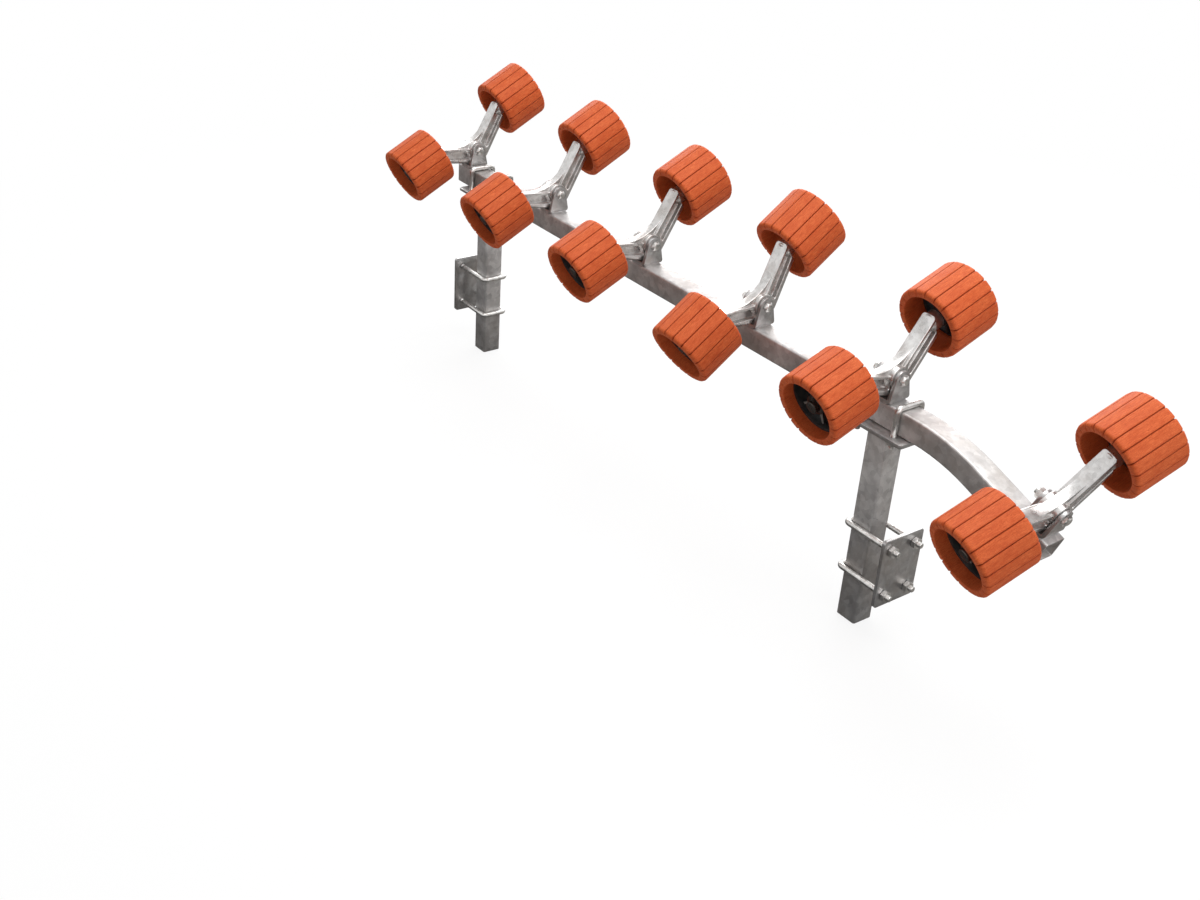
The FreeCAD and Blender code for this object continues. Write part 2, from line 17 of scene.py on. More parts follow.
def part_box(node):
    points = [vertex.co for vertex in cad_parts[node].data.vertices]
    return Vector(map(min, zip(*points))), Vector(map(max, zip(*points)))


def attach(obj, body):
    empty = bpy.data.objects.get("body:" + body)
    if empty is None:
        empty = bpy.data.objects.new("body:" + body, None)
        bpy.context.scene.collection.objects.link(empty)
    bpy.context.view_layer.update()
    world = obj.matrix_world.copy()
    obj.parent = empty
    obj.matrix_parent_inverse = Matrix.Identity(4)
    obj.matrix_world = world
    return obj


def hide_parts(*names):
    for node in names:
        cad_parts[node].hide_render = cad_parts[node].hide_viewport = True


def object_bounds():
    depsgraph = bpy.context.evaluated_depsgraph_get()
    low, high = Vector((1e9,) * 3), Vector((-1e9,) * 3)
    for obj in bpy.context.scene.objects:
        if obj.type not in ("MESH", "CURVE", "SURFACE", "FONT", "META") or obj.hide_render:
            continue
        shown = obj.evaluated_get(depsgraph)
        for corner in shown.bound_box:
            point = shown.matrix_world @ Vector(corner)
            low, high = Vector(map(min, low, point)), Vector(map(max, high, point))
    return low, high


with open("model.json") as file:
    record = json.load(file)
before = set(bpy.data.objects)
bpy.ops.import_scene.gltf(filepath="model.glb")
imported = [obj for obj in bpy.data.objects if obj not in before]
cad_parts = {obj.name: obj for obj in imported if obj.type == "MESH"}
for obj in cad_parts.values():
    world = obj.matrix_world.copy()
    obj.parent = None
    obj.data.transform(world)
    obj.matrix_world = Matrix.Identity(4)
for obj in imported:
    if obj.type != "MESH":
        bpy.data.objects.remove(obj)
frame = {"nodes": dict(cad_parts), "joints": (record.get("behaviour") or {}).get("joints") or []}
frame_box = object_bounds()
MM = 0.001
joints = {joint["name"]: joint for joint in frame["joints"]}

# %% [markdown]
# ## The camera
# The camera stands where the photographer stood: in front of the bent end, to the right of the bank and
# a little over a metre above the ground. A camera looks down its own -Z with +Y up, so its matrix has the
# picture's right and up as its first columns and the way back to the viewer as its third. The shift
# moves the frame sideways without turning the camera, as a cropped photograph does.

# %% Camera
PICTURE_WIDTH = 1200
PICTURE_HEIGHT = 900
FOCAL_PIXELS = 1387.9
CENTRE_ACROSS = 585.5
CENTRE_DOWN = 395.9
CAMERA_PLACE = (1.1950, -1.4830, 1.2044)
CAMERA_RIGHT = (0.5744, 0.8167, 0.0564)
CAMERA_BACK = (0.7104, -0.5315, 0.4613)

camera_data = bpy.data.cameras.new("camera")
camera = bpy.data.objects.new("camera", camera_data)
bpy.context.scene.collection.objects.link(camera)
backward = Vector(CAMERA_BACK).normalized()
up = backward.cross(Vector(CAMERA_RIGHT)).normalized()
right = up.cross(backward)
camera.matrix_world = Matrix.Translation(CAMERA_PLACE) @ Matrix(
    (right, up, backward)).transposed().to_4x4()
camera_data.lens = FOCAL_PIXELS / PICTURE_WIDTH * camera_data.sensor_width
camera_data.shift_x = (PICTURE_WIDTH / 2 - CENTRE_ACROSS) / PICTURE_WIDTH
camera_data.shift_y = (CENTRE_DOWN - PICTURE_HEIGHT / 2) / PICTURE_WIDTH
bpy.context.scene.camera = camera
print("lens", round(camera_data.lens, 2), "mm")

# %% [markdown]
# ## Writing shader maths as sums
# A finish is a small sum: a base colour, a little noise here, a darker tint there. Nodes make that hard
# to read, so a value of the node tree gets the ordinary signs. Adding two values lays down an Add node
# and links it, and every other node comes from one method that sets the node up before it is linked.

# %% Values and finishes
class Value:
    """The output of a node, with the signs of arithmetic."""

    def __init__(self, finish, socket):
        self.finish = finish
        self.socket = socket

    def sum(self, operation, first, second):
        return self.finish.add("ShaderNodeMath", {"operation": operation}, {0: first, 1: second})

    def __add__(self, other):
        return self.sum("ADD", self, other)

    __radd__ = __add__

    def __sub__(self, other):
        return self.sum("SUBTRACT", self, other)

    def __rsub__(self, other):
        return self.sum("SUBTRACT", other, self)

    def __mul__(self, other):
        return self.sum("MULTIPLY", self, other)

    __rmul__ = __mul__


class Finish:
    """A material with one surface shader, and the nodes that vary it."""

    def __init__(self, name, **surface):
        self.material = bpy.data.materials.new(name)
        self.material.use_nodes = True
        self.tree = self.material.node_tree
        self.surface = self.tree.nodes["Principled BSDF"]
        for socket, value in surface.items():
            self.surface.inputs[socket.replace("_", " ")].default_value = value

    def add(self, kind, settings=None, inputs=None, output=0):
        node = self.tree.nodes.new(kind)
        for name, value in (settings or {}).items():
            if name == "stops":
                self.set_stops(node.color_ramp, value)
            else:
                setattr(node, name, value)
        for socket, value in (inputs or {}).items():
            self.feed(node.inputs[socket], value)
        return Value(self, node.outputs[output])

    def set_stops(self, ramp, stops):
        while len(ramp.elements) < len(stops):
            ramp.elements.new(1.0)
        for element, (position, shade) in zip(ramp.elements, stops):
            element.position = position
            element.color = shade if isinstance(shade, tuple) else (shade, shade, shade, 1.0)

    def feed(self, socket, value):
        if isinstance(value, Value):
            self.tree.links.new(value.socket, socket)
        else:
            socket.default_value = value

    def wire(self, name, value):
        self.feed(self.surface.inputs[name], value)

    def place(self):
        return self.add("ShaderNodeTexCoord", output="Object")

    def stretched(self, vector, scale):
        return self.add("ShaderNodeMapping", {}, {"Vector": vector, "Scale": scale})

    def noise(self, vector, scale, detail=2.0, roughness=0.5):
        return self.add("ShaderNodeTexNoise", {}, {"Vector": vector, "Scale": scale, "Detail": detail,
                                                   "Roughness": roughness})

    def ramp(self, factor, *stops):
        return self.add("ShaderNodeValToRGB", {"stops": stops}, {"Fac": factor})

    def mix(self, factor, first, second):
        # The node has sockets for numbers and vectors too: 6, 7 and output 2 are those for colours
        return self.add("ShaderNodeMix", {"data_type": "RGBA"}, {0: factor, 6: first, 7: second},
                        output=2)

    def bump(self, height, distance):
        self.wire("Normal", self.add("ShaderNodeBump", {}, {"Height": height, "Distance": distance}))


def shade(red, green, blue):
    return (red, green, blue, 1.0)


# %% [markdown]
# ## Galvanised steel
# Hot-dip galvanising leaves a dull zinc skin: crystals a few millimetres wide that differ slightly in
# brightness, cloudy patches where the zinc ran thicker, and brownish grey where it has weathered. A
# Voronoi pattern gives the crystals, large soft noise gives the clouds, and very fine noise a little
# tooth that breaks up the highlights. The stub axles, deep in the rollers, get a painted shade that an
# attribute of the arm's mesh places. One recipe serves tube, plate and casting: its numbers are the
# scales of the crystals and of the clouds, the mean roughness, and the height of the bumps in millimetres.

# %% Galvanised finishes
# Painted shade for the stub axles, which lie in shade deep inside the rollers
AXLE_SHADE = shade(0.11, 0.10, 0.09)
BROWN_STAIN = shade(0.34, 0.30, 0.27)


def galvanised(name, dark, light, stain, crystal, cloud, polish, tooth):
    finish = Finish(name, Metallic=0.9, Specular_IOR_Level=0.5)
    place = finish.place()
    cells = finish.add("ShaderNodeTexVoronoi", {"feature": "F1"}, {"Vector": place, "Scale": crystal},
                       output="Color")
    grey = finish.add("ShaderNodeRGBToBW", {}, {"Color": cells})
    clouds = finish.noise(place, cloud, 4.0, 0.6)
    tone = clouds * 0.75 + grey * 0.25
    colour = finish.mix(finish.ramp(tone, (0.3, 0.0), (0.68, 1.0)), dark, light)
    patches = finish.noise(place, cloud * 0.45, 5.0, 0.62)
    weathered = finish.ramp(patches, (0.46, 0.0), (0.66, 0.55))
    colour = finish.mix(weathered, colour, stain)
    # Painted shade: darkens the stub axles where the arm's attribute marks them
    greased = finish.add("ShaderNodeAttribute", {"attribute_name": "greased"}, output="Fac")
    finish.wire("Base Color", finish.mix(greased, colour, AXLE_SHADE))
    fine = finish.noise(place, 420.0, 3.0, 0.6)
    finish.wire("Roughness", polish + (clouds - 0.5) * 0.22 + (fine - 0.5) * 0.12)
    finish.bump(fine * 0.08 + clouds * 0.6, tooth * MM)
    return finish.material


tube_steel = galvanised("galvanised_tube", shade(0.44, 0.43, 0.43), shade(0.74, 0.73, 0.72),
                        BROWN_STAIN, 110.0, 24.0, 0.52, 0.5)
plate_steel = galvanised("galvanised_plate", shade(0.38, 0.37, 0.37), shade(0.60, 0.60, 0.60),
                         BROWN_STAIN, 130.0, 40.0, 0.38, 0.6)
cast_steel = galvanised("galvanised_casting", shade(0.50, 0.49, 0.48), shade(0.78, 0.77, 0.76),
                        shade(0.40, 0.36, 0.33), 150.0, 48.0, 0.30, 0.8)
print("galvanised:", tube_steel.name, plate_steel.name, cast_steel.name)

# %% [markdown]
# ## Bright zinc
# Bolts, nuts and bent rods are electroplated: smoother and brighter than the dipped parts, with faint
# dull smears from handling. The smears change the colour and the roughness together, and hardly the
# surface. The washers and split pins sit in the rollers' mouths, in shade, so they get the same recipe
# with two far darker colours, which are painted shade.

# %% Zinc finishes
def zinc(name, dull, bright):
    finish = Finish(name, Metallic=0.95)
    place = finish.place()
    smears = finish.noise(place, 90.0, 4.0, 0.6)
    finish.wire("Base Color", finish.mix(finish.ramp(smears, (0.35, 0.0), (0.7, 1.0)), dull, bright))
    finish.wire("Roughness", smears * 0.2 + 0.2)
    finish.bump(finish.noise(place, 300.0, 2.0), 0.03 * MM)
    return finish.material


zinc_steel = zinc("bright_zinc", shade(0.50, 0.49, 0.47), shade(0.84, 0.83, 0.81))
# Painted shade: the washers and split pins in the rollers' mouths get far darker colours
shaded_zinc = zinc("shaded_zinc", shade(0.07, 0.065, 0.06), shade(0.17, 0.16, 0.15))
print("zinc:", zinc_steel.name, shaded_zinc.name)

# %% [markdown]
# ## Orange elastomer
# The tyres are moulded in a firm orange rubber. Their ribs have a fibrous drawn grain along the roller,
# broader and darker streaks in the same direction, scuffed patches and tiny specks of dirt. Grain and
# streaks follow the surface, so they are drawn in the piece's own UV map, which holds millimetres round
# and along the roller. The grooves are darkened with painted shade, from an attribute that the mesh
# carries.

# %% Tyre finish
def elastomer():
    finish = Finish("orange_elastomer", Specular_IOR_Level=0.22)
    surface = finish.add("ShaderNodeUVMap", {"uv_map": "unrolled"})
    place = finish.place()
    streaks = finish.noise(finish.stretched(surface, (0.75, 0.1, 1.0)), 1.0, 5.0, 0.65)
    flecks = finish.noise(finish.stretched(surface, (1.5, 0.45, 1.0)), 1.0, 3.0, 0.6)
    patches = finish.noise(place, 34.0, 4.0, 0.6)
    grain = streaks * 0.6 + flecks * 0.4
    colour = finish.mix(finish.ramp(grain, (0.36, 0.0), (0.64, 1.0)),
                        shade(0.53, 0.068, 0.010), shade(0.80, 0.190, 0.058))
    worn = finish.ramp(patches, (0.42, 0.0), (0.72, 0.45))
    colour = finish.mix(worn, colour, shade(0.50, 0.062, 0.010))
    drawn = finish.noise(finish.stretched(surface, (0.22, 0.035, 1.0)), 1.0, 4.0, 0.7)
    colour = finish.mix(finish.ramp(drawn, (0.48, 0.0), (0.68, 0.5)), colour, shade(0.47, 0.056, 0.010))
    specks = finish.ramp(finish.noise(place, 620.0, 2.0, 0.6), (0.58, 0.0), (0.72, 0.5))
    colour = finish.mix(specks, colour, shade(0.34, 0.045, 0.012))
    # Painted shade: the grooves and the notches of the end face are darkened by their depth
    groove = finish.add("ShaderNodeAttribute", {"attribute_name": "groove"}, output="Fac")
    finish.wire("Base Color", finish.mix(groove * 0.8, colour, shade(0.20, 0.026, 0.009)))
    finish.wire("Roughness", grain * 0.25 + 0.46)
    finish.bump(grain * 0.5 + drawn * 0.5 + patches * 0.3, 0.8 * MM)
    return finish.material


tyre_rubber = elastomer()
print("tyre finish:", tyre_rubber.name)

# %% [markdown]
# ## Black moulded hubs
# The hubs are black plastic, dusty in patches. Noise keeps the black from being flat, and the outer
# edges of the spokes get a painted highlight, broken up by the dust. The mesh says which these are.

# %% Hub finish
def moulded():
    finish = Finish("black_plastic", Specular_IOR_Level=0.45)
    place = finish.place()
    dust = finish.noise(place, 60.0, 5.0, 0.6)
    colour = finish.mix(finish.ramp(dust, (0.42, 0.0), (0.75, 1.0)),
                        shade(0.012, 0.013, 0.014), shade(0.05, 0.05, 0.048))
    # Painted highlight: lightens the spokes' outward edges to grey, broken up by the dust
    rubbed = finish.add("ShaderNodeAttribute", {"attribute_name": "rubbed"}, output="Fac")
    finish.wire("Base Color", finish.mix(rubbed * (dust * 0.6 + 0.35), colour,
                                         shade(0.34, 0.35, 0.33)))
    finish.wire("Roughness", dust * 0.3 + 0.36)
    finish.bump(finish.noise(place, 500.0, 3.0), 0.15 * MM)
    return finish.material


hub_plastic = moulded()
print("hub finish:", hub_plastic.name)

# %% [markdown]
# ## Shaping helpers
# Most of the pieces are turned or extruded from a small outline. A real outline has rounded corners, so
# the outline helper takes corners with a radius and puts a few points on each arc. The turned pieces lie
# along Y, as the axles do, and every piece is made about its own middle and then set down in its place.

# %% Outlines, turned pieces and finished objects
ORIGIN = Matrix.Identity(4)


def rounded(corners, steps):
    """Points through the corners (across, up[, radius]), with an arc where a radius is given."""
    points = []
    for index, corner in enumerate(corners):
        here = Vector(corner[:2])
        if len(corner) == 2:
            points.append(here)
            continue
        before = (Vector(corners[index - 1][:2]) - here).normalized()
        after = (Vector(corners[(index + 1) % len(corners)][:2]) - here).normalized()
        half = before.angle(after) / 2
        run = corner[2] / math.tan(half)
        centre = here + (before + after).normalized() * corner[2] / math.sin(half)
        first = here + before * run - centre
        sweep = first.angle_signed(here + after * run - centre)
        for step in range(steps + 1):
            turn = Matrix.Rotation(-sweep * step / steps, 2)
            points.append(centre + turn @ first)
    return points


def add_loop(bm, points, closed=True):
    """Vertices through the points, joined by edges."""
    verts = [bm.verts.new(point) for point in points]
    edges = [bm.edges.new(pair) for pair in zip(verts, verts[1:])]
    if closed:
        edges.append(bm.edges.new((verts[-1], verts[0])))
    return verts, edges


def turned(bm, profile, steps, closed=True):
    """Spins an outline (along, radius) about the Y axis."""
    verts, edges = add_loop(bm, [Vector((0, along, radius)) for along, radius in profile], closed)
    bmesh.ops.spin(bm, geom=verts + edges, cent=(0, 0, 0), axis=(0, 1, 0), dvec=(0, 0, 0),
                   angle=2 * math.pi, steps=steps, use_merge=True, use_duplicate=False,
                   use_normal_flip=False)
    bmesh.ops.remove_doubles(bm, verts=bm.verts, dist=0.0005)


def finished(name, bm, material, body, places=(ORIGIN,), replaced=(), sharp=35):
    """Copies the form to its places and makes one object of it that rides on a body."""
    bmesh.ops.recalc_face_normals(bm, faces=bm.faces)
    form = bpy.data.meshes.new(name + "_form")
    bm.to_mesh(form)
    bm.free()
    whole = bmesh.new()
    for place in places:
        first = len(whole.verts)
        whole.from_mesh(form)
        whole.verts.ensure_lookup_table()
        bmesh.ops.transform(whole, matrix=place @ Matrix.Scale(MM, 4), verts=whole.verts[first:])
    for face in whole.faces:
        face.smooth = True
    mesh = bpy.data.meshes.new(name)
    whole.to_mesh(mesh)
    whole.free()
    bpy.data.meshes.remove(form)
    mesh.set_sharp_from_angle(angle=math.radians(sharp))
    mesh.materials.append(material)
    piece = bpy.data.objects.new(name, mesh)
    bpy.context.scene.collection.objects.link(piece)
    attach(piece, body)
    if replaced:
        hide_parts(*replaced)
    return piece


# %% [markdown]
# ## Where the arms stand
# Each rocking joint gives an arm's pivot and the line of its bolt, and the spinning joint of its left
# roller gives the line of the axles. Two directions and a point are a whole place, so every piece of an
# arm can be drawn level, once, and set down at all six stations.

# %% Places of the six stations
STATIONS = range(1, 7)


def place_from(position, along_bolt, along_axle):
    upward = along_bolt.cross(along_axle)
    turn = Matrix((along_bolt, along_axle, upward)).transposed().to_4x4()
    return Matrix.Translation(position) @ turn


level_places = {}
arm_places = {}
for number in STATIONS:
    rock = joints["rock_%d" % number]
    bolt_line = Vector(rock["axis"])
    pivot = Vector(rock["pos_m"])
    level_places[number] = place_from(pivot, bolt_line, Vector((0, 1, 0)))
    arm_places[number] = place_from(pivot, bolt_line, Vector(joints["spin_left_%d" % number]["axis"]))

AXLE_REACH = 124.0
AXLE_HEIGHT = 43.5


def shifted(place, x, y, z):
    """A place moved by millimetres along its own three directions."""
    return place @ Matrix.Translation(Vector((x, y, z)) * MM)


def axle_place(number, side):
    return shifted(arm_places[number], 0, AXLE_REACH * side, AXLE_HEIGHT)


print("pivots at", [tuple(round(n, 3) for n in level_places[n].translation) for n in STATIONS])

# %% [markdown]
# ## Tyres
# The tyre is a thick ring with 19 flat ribs. Spinning its section gives a smooth ring with ten steps to a
# rib; the vertices of the outside are then drawn in to make each rib flat and to sink the groove between
# two ribs. Towards the rim the groove widens and deepens and ends in a small notch of the end face, which
# rounds the end of every rib and gives the mouth its scalloped edge. The same loop writes the attribute
# for the painted shade in the grooves, because it knows how deep each vertex lies. A second loop unrolls
# the tyre into its UV map.

# %% Grooves of the tyre
TYRE_RADIUS = 60.0
TYRE_BORE = 47.0
TYRE_HALF_WIDTH = 45.0
TYRE_EDGE = 5.5
BORE_EDGE = 1.5
RIB_COUNT = 19
RIB_FLATNESS = 0.9
GROOVE_DEPTH = 2.2
GROOVE_REACH = 4.0
RIM_LENGTH = 8.0
RIM_START = TYRE_HALF_WIDTH - RIM_LENGTH
RIM_RING = 2.0
RIM_WIDENING = 1.1
RIM_DEEPENING = 0.7
EDGE_SINKING = 1.8
FACE_SINKING = 0.75
NOTCH_DEPTH = 2.2
NOTCH_START = 0.4
# How far round from the groove's middle each step lies, and how much of the groove's depth it has
RIB_STEPS = ((0.0, 1.0), (0.55, 0.6), (1.1, 0.16), (2.0, 0.0), (5.0, 0.0), (None, 0.0), (-5.0, 0.0),
             (-2.0, 0.0), (-1.1, 0.16), (-0.55, 0.6))


def cut_grooves(bm):
    """Flattens the ribs, sinks the grooves between them and notes how deep each vertex lies, for the
    painted shade in the grooves.
    """
    groove = bm.verts.layers.float.new("groove")
    rib_angle = 2 * math.pi / RIB_COUNT
    edge_start = TYRE_RADIUS - TYRE_EDGE
    for vert in bm.verts:
        radius = math.hypot(vert.co.x, vert.co.z)
        angle = math.atan2(vert.co.x, vert.co.z) % (2 * math.pi)
        rib, place = divmod(round(angle / rib_angle * len(RIB_STEPS)), len(RIB_STEPS))
        offset, depth = RIB_STEPS[place]
        outside = min(1.0, max(0.0, (radius - edge_start) / TYRE_EDGE))
        at_rim = max(0.0, (abs(vert.co.y) - RIM_START) / RIM_LENGTH)
        if offset is None:
            angle = (rib + 0.5) * rib_angle
        else:
            spread = 1 + RIM_WIDENING * at_rim * at_rim * outside if abs(offset) < GROOVE_REACH else 1
            angle = (rib + (1 if offset < 0 else 0)) * rib_angle + offset * spread / TYRE_RADIUS
        from_middle = (angle / rib_angle) % 1.0 - 0.5
        flat = math.cos(rib_angle / 2) / math.cos(from_middle * rib_angle)
        on_face = FACE_SINKING if radius > edge_start - 0.1 else 0.0
        sunk = depth * min(1.0, max(outside * EDGE_SINKING, on_face))
        vert[groove] = sunk
        drawn = (radius * (1 - outside * (1 - flat) * RIB_FLATNESS)
                 - GROOVE_DEPTH * (1 + RIM_DEEPENING * at_rim) * sunk)
        notch = NOTCH_DEPTH * sunk * max(0.0, at_rim - NOTCH_START) / (1 - NOTCH_START)
        along = vert.co.y * (1 - notch / TYRE_HALF_WIDTH)
        vert.co = Vector((drawn * math.sin(angle), along, drawn * math.cos(angle)))


# %% Tyre form
def unroll(bm):
    """Lays the tyre out flat: its UV map holds millimetres round it and along it."""
    unrolled = bm.loops.layers.uv.new("unrolled")
    for face in bm.faces:
        middle = face.calc_center_median()
        around = math.atan2(middle.x, middle.z)
        for loop in face.loops:
            own = math.atan2(loop.vert.co.x, loop.vert.co.z)
            own += 2 * math.pi * round((around - own) / (2 * math.pi))
            radius = math.hypot(loop.vert.co.x, loop.vert.co.z)
            loop[unrolled].uv = (own * TYRE_RADIUS, loop.vert.co.y + radius - TYRE_RADIUS)


def make_tyre():
    bm = bmesh.new()
    half, rim = TYRE_HALF_WIDTH, RIM_START
    turned(bm, rounded([(half, TYRE_BORE, BORE_EDGE), (half, TYRE_RADIUS, TYRE_EDGE),
                        (rim + RIM_RING, TYRE_RADIUS), (rim, TYRE_RADIUS), (-rim, TYRE_RADIUS),
                        (-rim - RIM_RING, TYRE_RADIUS), (-half, TYRE_RADIUS, TYRE_EDGE),
                        (-half, TYRE_BORE, BORE_EDGE)], 5), RIB_COUNT * len(RIB_STEPS))
    cut_grooves(bm)
    unroll(bm)
    return bm


# %% Tyres on their axles
for number in STATIONS:
    for word, side in (("left", 1), ("right", -1)):
        tyre = finished("ribbed_tyre_%s_%d" % (word, number), make_tyre(), tyre_rubber,
                        "roller_%s_%d" % (word, number), [axle_place(number, side)],
                        ["tyre_%s_%d" % (word, number)], 28)
print("tyre:", len(tyre.data.polygons), "faces")

# %% [markdown]
# ## Hubs
# Inside the tyre sits a black moulding: a boss that turns on the axle, six spokes with a slight taper
# towards the rim, and a rim pressed into the tyre's bore. Rim and spokes end near the middle of the
# roller, so its side towards the arm looks deep and hollow. Each spoke is a slab, bevelled along its
# length and turned to its place. Its edges that look outwards carry an attribute for a painted highlight,
# because that is where light catches them.

# %% Hub form
HUB_RIM_OUTER = 25.0
HUB_RIM_INNER = -4.0
HUB_RIM_THICKNESS = 4.0
HUB_BOSS_HALF = 24.0
HUB_BOSS_RADIUS = 17.0
HUB_BOSS_END_RADIUS = 16.0
HUB_BOSS_TAPER = 12.0
HUB_BORE = 10.1
SPOKE_COUNT = 6
SPOKE_OUTER = 19.0
SPOKE_INNER = -8.0
SPOKE_MIDDLE = 27.0
SPOKE_LENGTH = 28.0
SPOKE_THICKNESS = 6.0
SPOKE_AT_RIM = 0.8
SPOKE_AT_BOSS = 1.15
SPOKE_EDGE = 1.4


def add_spokes(bm):
    rubbed = bm.verts.layers.float.new("rubbed")
    for turn in range(SPOKE_COUNT):
        verts = bmesh.ops.create_cube(bm, size=1.0)["verts"]
        bmesh.ops.scale(bm, vec=(SPOKE_THICKNESS, SPOKE_OUTER - SPOKE_INNER, SPOKE_LENGTH), verts=verts)
        bmesh.ops.translate(bm, vec=(0, (SPOKE_OUTER + SPOKE_INNER) / 2, SPOKE_MIDDLE), verts=verts)
        for vert in verts:
            vert.co.x *= SPOKE_AT_RIM if vert.co.z > SPOKE_MIDDLE else SPOKE_AT_BOSS
        lengthwise = [edge for edge in bm.edges if edge.verts[0] in verts
                      and abs(edge.verts[0].co.z - edge.verts[1].co.z) > SPOKE_LENGTH / 2]
        cut = bmesh.ops.bevel(bm, geom=lengthwise, offset=SPOKE_EDGE, segments=3, profile=0.5,
                              affect="EDGES", material=-1)
        spoke = {vert for face in cut["faces"] for vert in face.verts}
        # Painted highlight: marks the spoke's outward edges to be lightened
        for vert in spoke:
            if vert.co.y > SPOKE_OUTER - SPOKE_EDGE / 2:
                vert[rubbed] = 1.0
        bmesh.ops.rotate(bm, cent=(0, 0, 0), verts=list(spoke),
                         matrix=Matrix.Rotation(2 * math.pi * turn / SPOKE_COUNT, 3, "Y"))


def make_hub():
    """Hub about the roller's middle, with its outward face towards +Y."""
    bm = bmesh.new()
    end, shoulder = HUB_BOSS_HALF, HUB_BOSS_HALF - HUB_BOSS_TAPER
    turned(bm, rounded([(-end, HUB_BORE), (-end, HUB_BOSS_END_RADIUS, 1.2), (-shoulder, HUB_BOSS_RADIUS),
                        (shoulder, HUB_BOSS_RADIUS), (end, HUB_BOSS_END_RADIUS, 1.2), (end, HUB_BORE)],
                       3), 48)
    inside = TYRE_BORE - HUB_RIM_THICKNESS
    turned(bm, rounded([(HUB_RIM_INNER, inside, 0.8), (HUB_RIM_INNER, TYRE_BORE),
                        (HUB_RIM_OUTER, TYRE_BORE), (HUB_RIM_OUTER, inside, 0.8)], 2), 64)
    add_spokes(bm)
    return bm


for number in STATIONS:
    for word, side in (("left", 1), ("right", -1)):
        outward = axle_place(number, side) @ Matrix.Rotation(0 if side > 0 else math.pi, 4, "Z")
        hub = finished("spoked_hub_%s_%d" % (word, number), make_hub(), hub_plastic,
                       "roller_%s_%d" % (word, number), [outward],
                       ["hub_%s_%d" % (word, number)], 30)
print("hub:", len(hub.data.polygons), "faces")

# %% [markdown]
# ## Rocker arms
# The arm is one casting shaped like a V: a broad flange above, a rail as broad below, and a thin web
# between them that leaves a long recess on either side. The recess starts with a rounded end beside the
# solid middle, and a gusset narrower than the flange fills the valley of the V. Cut across, the arm is an
# I with soft cast corners. Bridging such sections from one end to the other gives every edge its
# roundness, and the recess closes where its floor comes out to the flange's edge.

# %% Arm form
ARM_HALF = 13.0
ARM_REACH = 86.0
FLANGE_RISE = math.tan(math.radians(33))
FLANGE_CROWN = 3.0
FLANGE_FALL = 5.5 / math.cos(math.radians(33))
RAIL_RISE = math.tan(math.radians(34.6))
RAIL_FALL = 9.0 / math.cos(math.radians(34.6))
KEEL = -30.0 / math.cos(math.radians(34.6))
KEEL_RADIUS = 33.0
GUSSET_HALF = 8.0
GUSSET_RADIUS = 90.0
WEB_HALF = 4.0
RECESS_START = 20.0
RECESS_CORNER = 7.0
RECESS_RAMP = 1.5
END_CORNER = 3.0
FLANGE_EDGE = 2.0
RECESS_EDGE = 1.6
RAIL_EDGE = 1.8
KEEL_EDGE = 3.0
# Where the arm is cut, from its middle to an end: closer where a rounding starts or closes
SLICES = (0, 4, 8, 12, 16, 19, 20, 20.7, 21.5, 23, 25, 27.5, 31, 35, 39, 43, 47, 50, 58, 66, 74, 83, 84,
          85, 85.7, 86)

gusset_line = rounded([(-ARM_REACH, FLANGE_CROWN + ARM_REACH * FLANGE_RISE),
                       (0.0, FLANGE_CROWN, GUSSET_RADIUS),
                       (ARM_REACH, FLANGE_CROWN + ARM_REACH * FLANGE_RISE)], 16)
keel_line = rounded([(-ARM_REACH, KEEL + ARM_REACH * RAIL_RISE), (0.0, KEEL, KEEL_RADIUS),
                     (ARM_REACH, KEEL + ARM_REACH * RAIL_RISE)], 12)


def level_at(line, across):
    """The height of a line of points above a place along it."""
    for first, second in zip(line, line[1:]):
        if first.x <= across <= second.x and second.x > first.x:
            share = (across - first.x) / (second.x - first.x)
            return first.y + (second.y - first.y) * share
    return line[-1].y


def quarter_arc(radius, distance):
    """How far a rounded corner stands in at a distance from its start."""
    left = min(radius, max(0.0, radius - distance))
    return radius - math.sqrt(radius * radius - left * left)


def arm_section(along):
    """The I of the arm at a place along it: half an outline, mirrored to the other side."""
    away = abs(along)
    top = FLANGE_CROWN + away * FLANGE_RISE
    step = max(0.03, level_at(gusset_line, along) - top)
    half = ARM_HALF - quarter_arc(END_CORNER, ARM_REACH - away)
    closing = quarter_arc(RECESS_CORNER, away - RECESS_START)
    under = top - FLANGE_FALL - closing
    high = KEEL + RAIL_FALL + away * RAIL_RISE + closing
    low = level_at(keel_line, along)
    depth = min(1.0, max(0.0, (away - RECESS_START) / RECESS_RAMP))
    solid = half - 0.05
    web = solid - (solid - WEB_HALF) * depth
    inner = 0.02 + RECESS_EDGE * depth
    soft = min(1.0, step * 0.45)
    points = rounded([(0, top + step), (GUSSET_HALF, top + step, soft), (GUSSET_HALF, top, soft),
                      (half, top, FLANGE_EDGE), (half, under, RECESS_EDGE), (web, under, inner),
                      (web, high, inner), (half, high, RAIL_EDGE), (half, low, KEEL_EDGE), (0, low)], 3)
    other = [Vector((-point.x, point.y)) for point in reversed(points[1:-1])]
    return [Vector((point.x, along, point.y)) for point in points + other]


def make_arm():
    bm = bmesh.new()
    slices = [-away for away in reversed(SLICES[1:])] + list(SLICES)
    rings = [add_loop(bm, arm_section(along))[1] for along in slices]
    for first, second in zip(rings, rings[1:]):
        bmesh.ops.bridge_loops(bm, edges=first + second)
    for ring in (rings[0], rings[-1]):
        bmesh.ops.contextual_create(bm, geom=ring)
    return bm


